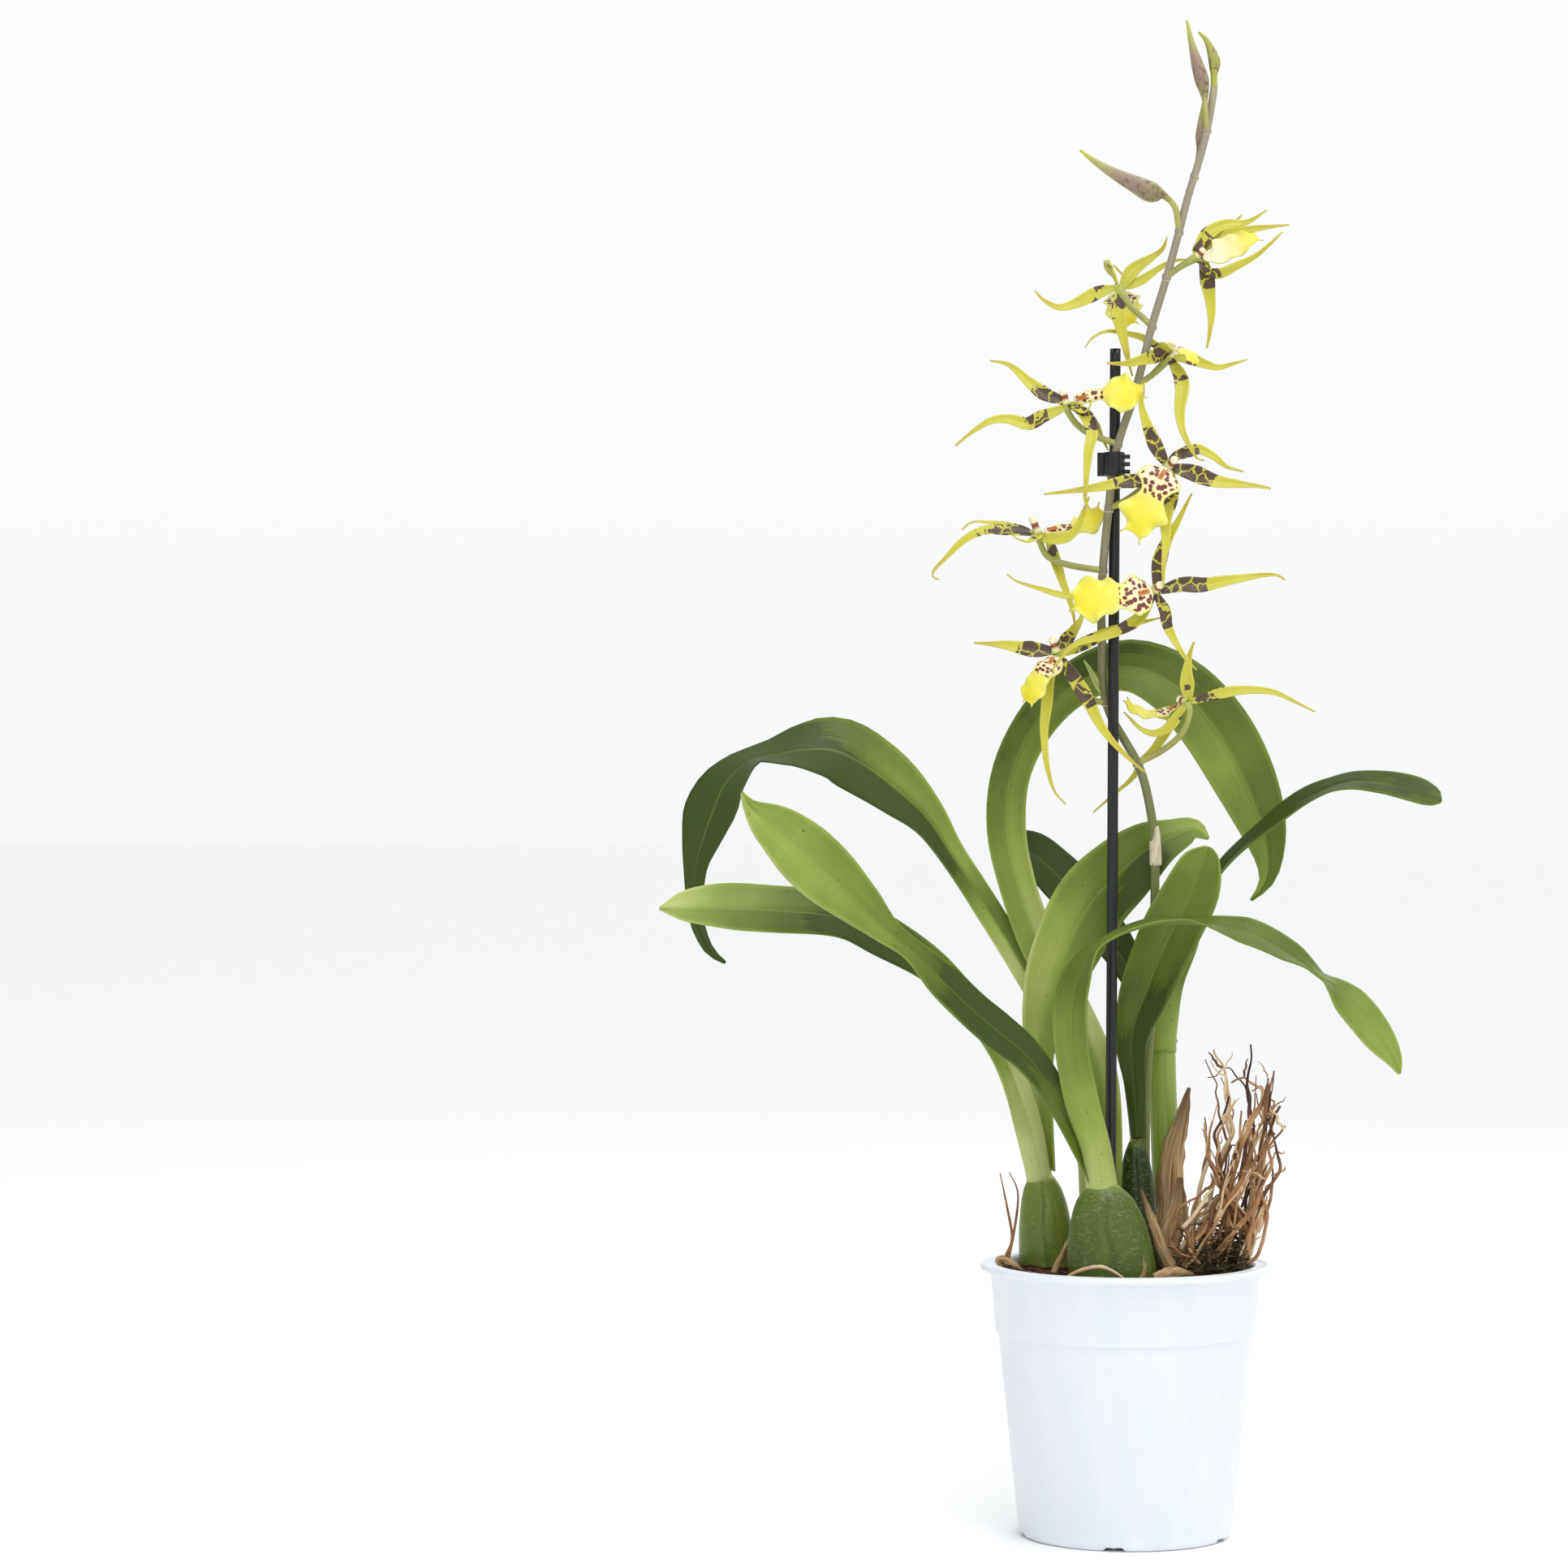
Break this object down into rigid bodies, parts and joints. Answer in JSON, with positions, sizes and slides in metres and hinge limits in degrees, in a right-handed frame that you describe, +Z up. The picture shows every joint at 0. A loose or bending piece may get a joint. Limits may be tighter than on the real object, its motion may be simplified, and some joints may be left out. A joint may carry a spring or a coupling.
{
  "type": "brassia orchid",
  "caption": "Potted spider orchid: strap leaves on pseudobulbs, aerial roots, and one staked spray of long-tepalled yellow-green blooms with buds, in a round flanged grower's pot.",
  "frame": {"origin": "centre of the pot's flat bottom, on the surface the pot stands on", "axes": "+Z up along the pot's axis; -Y towards the viewer, the side the blooms face; +X to the viewer's right, the way the spray leans"},
  "size_m": [0.3196, 0.1285, 0.6275],
  "materials": {
    "pot_plastic": "glossy",
    "bark_and_coir": "rough",
    "leaf_green": "satin",
    "pseudobulb_green": "satin",
    "stem_skin": "satin",
    "tepal_skin": "satin",
    "lip_skin": "satin",
    "bud_skin": "satin",
    "dry_sheath_skin": "matte",
    "root_skin": "matte",
    "black_stake_plastic": "satin"
  },
  "bodies": {
    "root": {"pot": "pot_plastic", "substrate": "bark_and_coir", "bulb_front": "pseudobulb_green", "bulb_left": "pseudobulb_green", "bulb_mid": "pseudobulb_green", "growth_stalk": "pseudobulb_green", "leaf_a": "leaf_green", "leaf_b": "leaf_green", "leaf_c": "leaf_green", "leaf_d": "leaf_green", "leaf_e": "leaf_green", "leaf_f": "leaf_green", "leaf_g": "leaf_green", "leaf_h": "leaf_green", "leaf_i": "leaf_green", "dry_sheath_tall": "dry_sheath_skin", "dry_sheath_torn": "dry_sheath_skin", "dry_sheath_strip": "dry_sheath_skin", "roots_right": "root_skin", "roots_left": "root_skin", "root_front": "root_skin", "stake": "black_stake_plastic", "clip": "black_stake_plastic", "flower_stem": "stem_skin", "bloom_1": "tepal_skin", "bloom_2": "tepal_skin", "bloom_3": "tepal_skin", "bloom_4": "tepal_skin", "bloom_5": "tepal_skin", "bloom_6": "tepal_skin", "bloom_7": "tepal_skin", "bloom_8": "tepal_skin", "bloom_9": "tepal_skin", "lip_1": "lip_skin", "lip_2": "lip_skin", "lip_3": "lip_skin", "lip_4": "lip_skin", "lip_5": "lip_skin", "lip_6": "lip_skin", "lip_7": "lip_skin", "lip_8": "lip_skin", "lip_9": "lip_skin", "bud_1": "bud_skin", "bud_2": "bud_skin", "bud_3": "bud_skin", "bud_4": "bud_skin"}
  },
  "joints": []
}
